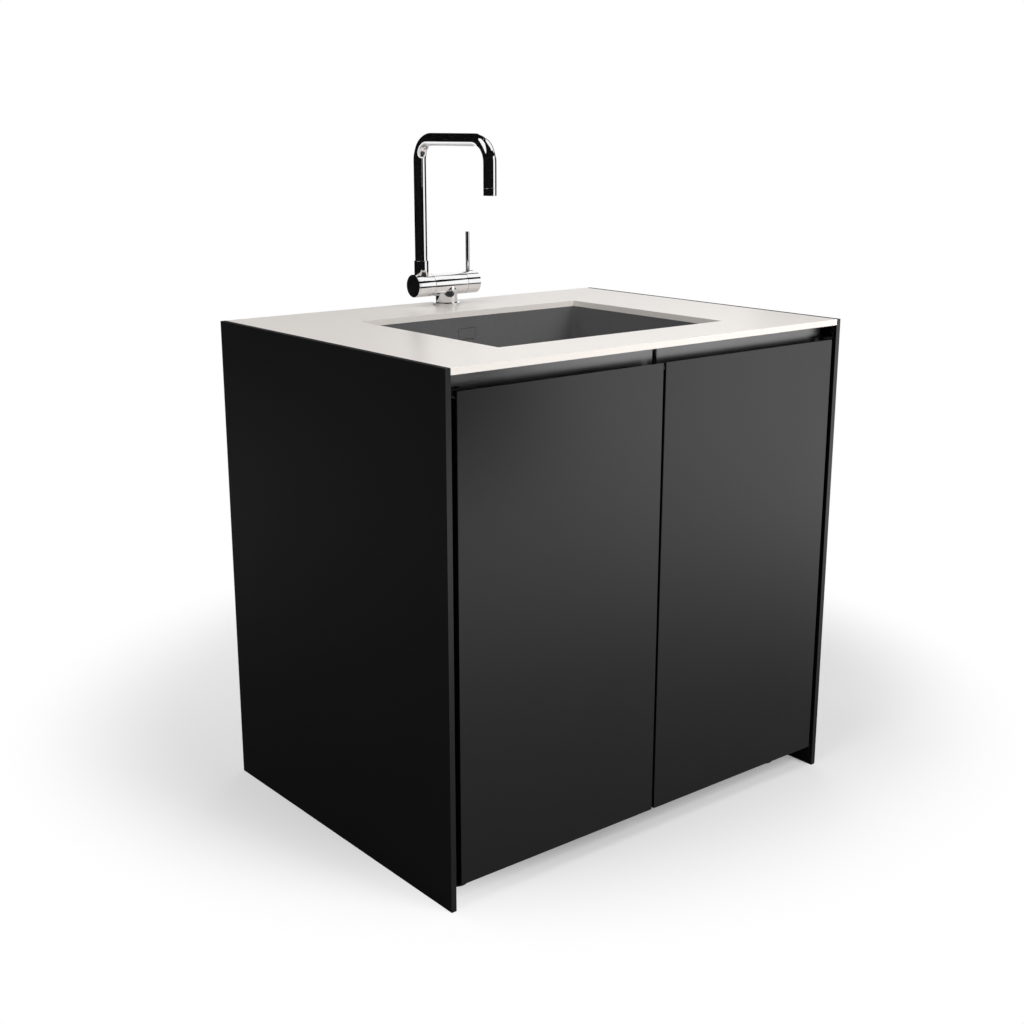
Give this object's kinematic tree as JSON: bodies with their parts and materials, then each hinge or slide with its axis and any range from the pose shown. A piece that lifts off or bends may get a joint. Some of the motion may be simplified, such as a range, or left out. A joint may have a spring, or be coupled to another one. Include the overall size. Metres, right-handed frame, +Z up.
{
  "type": "sink unit",
  "caption": "Sink base unit with a thin pale worktop, an undermount basin with strainer and trap, finger-groove doors and a fold-down chrome mixer tap.",
  "frame": {"origin": "on the floor under the middle of the unit", "axes": "+X to the right seen from the front, +Y to the back, +Z up; the doors' front faces -Y"},
  "size_m": [0.914, 0.698, 1.2345],
  "materials": {
    "side_panel_black": "matte black compact laminate",
    "door_anthracite": "satin anthracite lacquer on folded aluminium sheet",
    "grip_aluminium": "satin anodised aluminium of the grip plates",
    "worktop_stone": "honed pale solid surface",
    "basin_composite": "matte dark grey composite",
    "carcass_board": "dark grey faced board",
    "core_board": "raw board inside the doors",
    "tap_chrome": "polished chrome",
    "brass": "turned brass",
    "steel": "brushed stainless steel",
    "zinc_steel": "zinc plated steel fasteners",
    "bracket_black": "black powder coated steel",
    "black_plastic": "black moulded plastic",
    "grey_plastic": "pale grey moulded plastic",
    "rubber_black": "black rubber",
    "hose_braid": "steel braid",
    "handle_red": "red coated lever",
    "handle_blue": "blue coated lever"
  },
  "bodies": {
    "cabinet": {"side_panel_left": "side_panel_black", "side_panel_right": "side_panel_black", "worktop": "worktop_stone", "carcass_side_left": "carcass_board", "carcass_side_right": "carcass_board", "carcass_bottom": "carcass_board", "back_panel": "carcass_board", "front_rail": "carcass_board", "back_rail": "carcass_board", "carcass_screws": "zinc_steel", "panel_screws": "zinc_steel", "fitting_screws": "zinc_steel", "foot_sockets": "black_plastic", "pivot_brackets": "bracket_black", "pivot_pins": "steel", "door_magnets": "steel", "basin": "basin_composite", "basin_clips": "zinc_steel", "overflow_cover": "basin_composite", "overflow_pipe": "black_plastic", "waste_flange": "steel", "waste_cup": "black_plastic", "waste_nuts": "black_plastic", "trap_body": "grey_plastic", "trap_cup": "grey_plastic", "waste_pipe": "grey_plastic", "tap_flange": "tap_chrome", "tap_body": "tap_chrome", "cartridge": "grey_plastic", "tap_shank": "brass", "shank_washer": "rubber_black", "shank_nut": "brass", "hot_hose": "hose_braid", "cold_hose": "hose_braid", "hot_valve": "tap_chrome", "cold_valve": "tap_chrome"},
    "left_door": {"left_door_tray": "door_anthracite", "left_door_core": "core_board", "left_door_back": "carcass_board", "left_grip_profile": "grip_aluminium", "left_door_fittings": "steel"},
    "right_door": {"right_door_tray": "door_anthracite", "right_door_core": "core_board", "right_door_back": "carcass_board", "right_grip_profile": "grip_aluminium", "right_door_fittings": "steel"},
    "spout_arm": {"spout_carrier": "tap_chrome", "carrier_cap": "tap_chrome", "spout_collar": "tap_chrome"},
    "spout_tube": {"spout": "tap_chrome", "spout_outlet": "tap_chrome"},
    "mixer_head": {"mixer_knob": "tap_chrome"},
    "mixer_lever": {"lever": "tap_chrome"},
    "basket": {"strainer_basket": "steel"},
    "hot_lever": {"hot_handle": "handle_red"},
    "cold_lever": {"cold_handle": "handle_blue"},
    "foot_fl": {"foot_front_left": "black_plastic"},
    "foot_fr": {"foot_front_right": "black_plastic"},
    "foot_bl": {"foot_back_left": "black_plastic"},
    "foot_br": {"foot_back_right": "black_plastic"}
  },
  "joints": [
    {"name": "left_door_swing", "type": "hinge", "parent": "cabinet", "child": "left_door", "pos_m": [-0.426, -0.335, 0.45], "axis": [0, 0, -1], "range_deg": [0, 100]},
    {"name": "right_door_swing", "type": "hinge", "parent": "cabinet", "child": "right_door", "pos_m": [0.426, -0.335, 0.45], "axis": [0, 0, 1], "range_deg": [0, 100]},
    {"name": "spout_fold", "type": "hinge", "parent": "cabinet", "child": "spout_arm", "pos_m": [-0.01625, 0.3, 0.941], "axis": [1, 0, 0], "range_deg": [0, 90]},
    {"name": "spout_swivel", "type": "hinge", "parent": "spout_arm", "child": "spout_tube", "pos_m": [-0.03675, 0.3, 0.99], "axis": [0, 0, 1], "range_deg": [-90, 90]},
    {"name": "mixer_turn", "type": "hinge", "parent": "cabinet", "child": "mixer_head", "pos_m": [0.06425, 0.3, 0.941], "axis": [1, 0, 0], "range_deg": [-45, 45]},
    {"name": "lever_tilt", "type": "hinge", "parent": "mixer_head", "child": "mixer_lever", "pos_m": [0.07825, 0.3, 0.941], "axis": [0, 1, 0], "range_deg": [0, 18]},
    {"name": "basket_lift", "type": "slide", "parent": "cabinet", "child": "basket", "axis": [0, 0, 1], "range_m": [0, 0.15]},
    {"name": "hot_lever_turn", "type": "hinge", "parent": "cabinet", "child": "hot_lever", "pos_m": [-0.046, 0.288, 0.43], "axis": [0, 1, 0], "range_deg": [0, 90]},
    {"name": "cold_lever_turn", "type": "hinge", "parent": "cabinet", "child": "cold_lever", "pos_m": [0.094, 0.288, 0.43], "axis": [0, -1, 0], "range_deg": [0, 90]},
    {"name": "foot_fl_turn", "type": "hinge", "parent": "cabinet", "child": "foot_fl", "pos_m": [-0.389, -0.27, 0.03], "axis": [0, 0, 1], "continuous": true},
    {"name": "foot_fr_turn", "type": "hinge", "parent": "cabinet", "child": "foot_fr", "pos_m": [0.389, -0.27, 0.03], "axis": [0, 0, 1], "continuous": true},
    {"name": "foot_bl_turn", "type": "hinge", "parent": "cabinet", "child": "foot_bl", "pos_m": [-0.389, 0.27, 0.03], "axis": [0, 0, 1], "continuous": true},
    {"name": "foot_br_turn", "type": "hinge", "parent": "cabinet", "child": "foot_br", "pos_m": [0.389, 0.27, 0.03], "axis": [0, 0, 1], "continuous": true}
  ]
}
